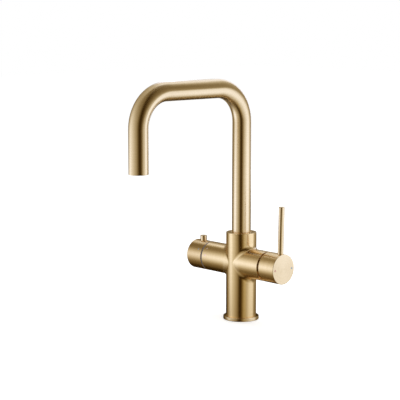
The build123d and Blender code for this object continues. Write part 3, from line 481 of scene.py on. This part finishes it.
def place_floor():
    """Pale floor that takes a soft shadow and shows white to the camera."""
    bpy.ops.mesh.primitive_plane_add(size=floor_size, location=(0, 0, floor_height))
    floor = bpy.context.object
    floor.name = "floor"
    material, graph = make_material("floor")
    grain = graph.noise(graph.place(), floor_grain)
    tone = graph.mix(grain, rgb(*floor_dark), rgb(*floor_pale))
    matt = graph.node("ShaderNodeBsdfDiffuse", {"Color": tone})
    seen = graph.node("ShaderNodeLightPath").outputs["Is Camera Ray"]
    glow = graph.node(
        "ShaderNodeEmission",
        {"Color": rgb(1, 1, 1), "Strength": graph.product(seen, floor_glow)},
    )
    graph.finish("ShaderNodeAddShader", {0: matt.outputs[0], 1: glow.outputs[0]})
    material.cycles.emission_sampling = "NONE"
    floor.data.materials.append(material)
    floor.visible_glossy = False


def make_sky():
    """An even white sky for matt surfaces, and a white background."""
    world = bpy.data.worlds.new("studio")
    bpy.context.scene.world = world
    world.use_nodes = True
    graph = Graph(world.node_tree)
    path = graph.node("ShaderNodeLightPath").outputs
    seen = graph.math("MAXIMUM", path["Is Camera Ray"], path["Is Transmission Ray"])
    strength = graph.math("MULTIPLY_ADD", seen, sky_glow, sky_light)
    inputs = {"Color": rgb(1, 1, 1), "Strength": strength}
    graph.finish("ShaderNodeBackground", inputs, "ShaderNodeOutputWorld")


def place_lamp():
    """A soft lamp high behind the tap, on the left, for the shadow at its foot. Reflections don't see
    it."""
    lamp = bpy.data.lights.new("softbox", "AREA")
    lamp.shape = "RECTANGLE"
    lamp.size = lamp_size
    lamp.size_y = lamp_size
    lamp.energy = lamp_power
    box = bpy.data.objects.new("softbox", lamp)
    bpy.context.scene.collection.objects.link(box)
    box.location = lamp_place
    aim = Vector(lamp_target) - box.location
    box.rotation_euler = aim.to_track_quat("-Z", "Y").to_euler()
    box.visible_glossy = False
    box.visible_camera = False


def light_tent():
    """The dome of cloth and panels that the metal reflects."""
    bpy.ops.mesh.primitive_uv_sphere_add(
        segments=tent_segments, ring_count=tent_rings, radius=tent_radius, location=tent_centre
    )
    tent = bpy.context.object
    tent.name = "tent"
    material, graph = make_material("tent")
    x, y, z = graph.split(graph.node("ShaderNodeNewGeometry").outputs["Position"])
    x = graph.math("SUBTRACT", x, tent_centre[0])
    y = graph.math("SUBTRACT", y, tent_centre[1])
    z = graph.math("DIVIDE", graph.math("SUBTRACT", z, tent_centre[2]), tent_radius)
    azimuth = graph.math("ADD", graph.math("DEGREES", graph.math("ARCTAN2", y, x)), azimuth_shift)
    elevation = graph.math("DEGREES", graph.math("ARCSINE", z))
    walls = graph.step(elevation, *tent_wall_rise)
    light = graph.math("MULTIPLY_ADD", walls, tent_wall_light, tent_floor_light)
    for strength, azimuth_rise, azimuth_fall, elevation_rise, elevation_fall in panels.values():
        across = graph.band(azimuth, azimuth_rise, azimuth_fall)
        up = graph.band(elevation, elevation_rise, elevation_fall)
        light = graph.math("MULTIPLY_ADD", graph.product(across, up), strength, light)
    for share, azimuth_rise, azimuth_fall, elevation_fall in dark_stretches.values():
        across = graph.band(azimuth, azimuth_rise, azimuth_fall)
        up = graph.fall(elevation, *elevation_fall)
        light = graph.dim(light, graph.product(across, up), share)
    light = graph.curve(light, *tent_light)
    less_green, less_blue, azimuth_rise, azimuth_fall, elevation_fall = low_glow
    across = graph.band(azimuth, azimuth_rise, azimuth_fall)
    glow = graph.product(across, graph.fall(elevation, *elevation_fall))
    green = graph.dim(graph.curve(light, *tent_green), glow, less_green)
    blue = graph.dim(graph.curve(light, *tent_blue), glow, less_blue)
    colour = graph.node("ShaderNodeCombineColor", {0: light, 1: green, 2: blue}).outputs[0]
    graph.finish("ShaderNodeEmission", {"Color": colour, "Strength": 1.0})
    material.cycles.emission_sampling = "NONE"
    tent.data.materials.append(material)
    for polygon in tent.data.polygons:
        polygon.use_smooth = True
    tent.visible_camera = False
    tent.visible_diffuse = False
    tent.visible_shadow = False
    tent.visible_volume_scatter = False


def coil(middle, height):
    """A helix of round wire, standing on its lower end."""
    mesh = bmesh.new()
    climb = height / (math.tau * spring_turns * spring_radius)
    rings = []
    for i in range(spring_turns * spring_steps + 1):
        angle = math.tau * i / spring_steps
        out = Vector((math.cos(angle), math.sin(angle), 0))
        forward = Vector((-math.sin(angle), math.cos(angle), climb)).normalized()
        side = forward.cross(out)
        rise = height * i / (spring_turns * spring_steps)
        point = middle + out * spring_radius + Vector((0, 0, rise))
        ring = []
        for k in range(spring_sides):
            turn = math.tau * k / spring_sides
            edge = (out * math.cos(turn) + side * math.sin(turn)) * spring_wire
            ring.append(mesh.verts.new(point + edge))
        rings.append(ring)
    for one, two in zip(rings, rings[1:]):
        for k in range(spring_sides):
            following = (k + 1) % spring_sides
            mesh.faces.new((one[k], one[following], two[following], two[k])).smooth = True
    mesh.faces.new(rings[0])
    mesh.faces.new(rings[-1])
    bmesh.ops.recalc_face_normals(mesh, faces=mesh.faces)
    data = bpy.data.meshes.new("button_spring_coil")
    mesh.to_mesh(data)
    mesh.free()
    return data


def button_spring(material):
    """The safety button's spring, made again here because it shortens as the button is pressed."""
    low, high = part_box("button_spring")
    bottom = low[2] + spring_wire
    middle = Vector((button_axis[1][0], 0, bottom))
    data = coil(middle, high[2] - spring_wire - bottom)
    data.materials.append(material)
    piece = bpy.data.objects.new("button_spring_coil", data)
    bpy.context.scene.collection.objects.link(piece)
    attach(piece, "boiling_handle")
    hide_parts("button_spring")
    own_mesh(piece)


def dress(materials):
    """Gives each CAD node its material. Every node is named once."""
    for node, material in materials.items():
        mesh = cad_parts[node].data
        mesh.materials.clear()
        mesh.materials.append(material)
        for polygon in mesh.polygons:
            polygon.material_index = 0
    missing = set(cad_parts) - set(materials)
    if missing:
        raise ValueError("no material for %s" % sorted(missing))


place_camera()
place_floor()
make_sky()
place_lamp()
light_tent()

brass_colours = (raw_brass, dark_brass, brass_roughness)
steel_colours = (pale_steel, dark_steel, steel_roughness)
brass = turned_metal("raw_brass_upright", *column_axis, *brass_colours)
brass_arm = turned_metal("raw_brass_level", *arm_axis, *brass_colours)
steel = turned_metal("stainless_upright", *outlet_axis, *steel_colours)
steel_arm = turned_metal("stainless_level", *arm_axis, *steel_colours)
black_steel = speckled("black_steel", (0.03, 0.03, 0.032), spread=0.25, roughness=0.42, metallic=1.0)
rubber = speckled("black_rubber", (0.018, 0.018, 0.019), spread=0.3, roughness=0.62, relief=0.00003)
white_plastic = speckled("white_plastic", (0.72, 0.72, 0.70), spread=0.04, roughness=0.38)
tan_plastic = speckled("tan_plastic", (0.50, 0.36, 0.19), spread=0.05, roughness=0.4)
grey_plastic = speckled("grey_plastic", (0.15, 0.12, 0.105), spread=0.08, roughness=0.45)
ceramic = speckled("white_ceramic", (0.80, 0.79, 0.76), spread=0.03, roughness=0.22)
red = speckled("red_enamel", (0.80, 0.43, 0.34), spread=0.06, roughness=0.3)
blue = speckled("blue_enamel", (0.48, 0.56, 0.60), spread=0.06, roughness=0.3)
rose = speckled("rose_enamel", (0.85, 0.58, 0.48), spread=0.06, roughness=0.32, metallic=0.7)
grey = speckled("grey_enamel", (0.52, 0.53, 0.52), spread=0.06, roughness=0.35, metallic=0.7)

dress(
    {
        "body": casting_gold("gold_casting"),
        "base_ring": turned_gold("gold_base", *column_axis),
        "dome_cover": turned_gold("gold_cover", *arm_axis),
        "outlet_sleeve": turned_gold("gold_outlet", *outlet_axis),
        "mixer_knob": knob_gold("gold_mixer_knob"),
        "mixer_lever": turned_gold("gold_lever", *lever_axis),
        "boil_knob": turned_gold("gold_boil_knob", *arm_axis, dim_gold),
        "lock_button": turned_gold("gold_button", *button_axis),
        "spout_tube": pipe_gold("gold_pipe"),
        "swivel_stub": brass,
        "cartridge_nut": brass_arm,
        "boil_valve_housing": brass_arm,
        "lock_ring": brass_arm,
        "lever_stem": brass,
        "boil_spindle": brass_arm,
        "button_retainer": brass,
        "boiling_inner_tube": steel,
        "boiling_nozzle": steel,
        "pivot_pin": steel_arm,
        "spindle_clip": steel_arm,
        "button_spring": steel,
        "spout_stop_screw": black_steel,
        "handle_grub_screw": black_steel,
        "knob_grub_screw": black_steel,
        "deck_gasket": rubber,
        "inner_tube_o_ring": rubber,
        "cartridge_seals": rubber,
        "boil_valve_gasket": rubber,
        "swivel_o_rings": rubber,
        "aerator_washer": rubber,
        "spindle_o_rings": rubber,
        "spout_slide_ring": tan_plastic,
        "cartridge_base": white_plastic,
        "cartridge_housing": white_plastic,
        "aerator_insert": white_plastic,
        "cartridge_turret": white_plastic,
        "disc_carrier": white_plastic,
        "insulator_ring": grey_plastic,
        "mixer_fixed_disc": ceramic,
        "boil_fixed_disc": ceramic,
        "mixer_moving_disc": ceramic,
        "boil_moving_disc": ceramic,
        "arm_index_dots": rose,
        "hot_dot": red,
        "cold_dot": blue,
        "boil_index_dot": grey,
    }
)

button_spring(steel)
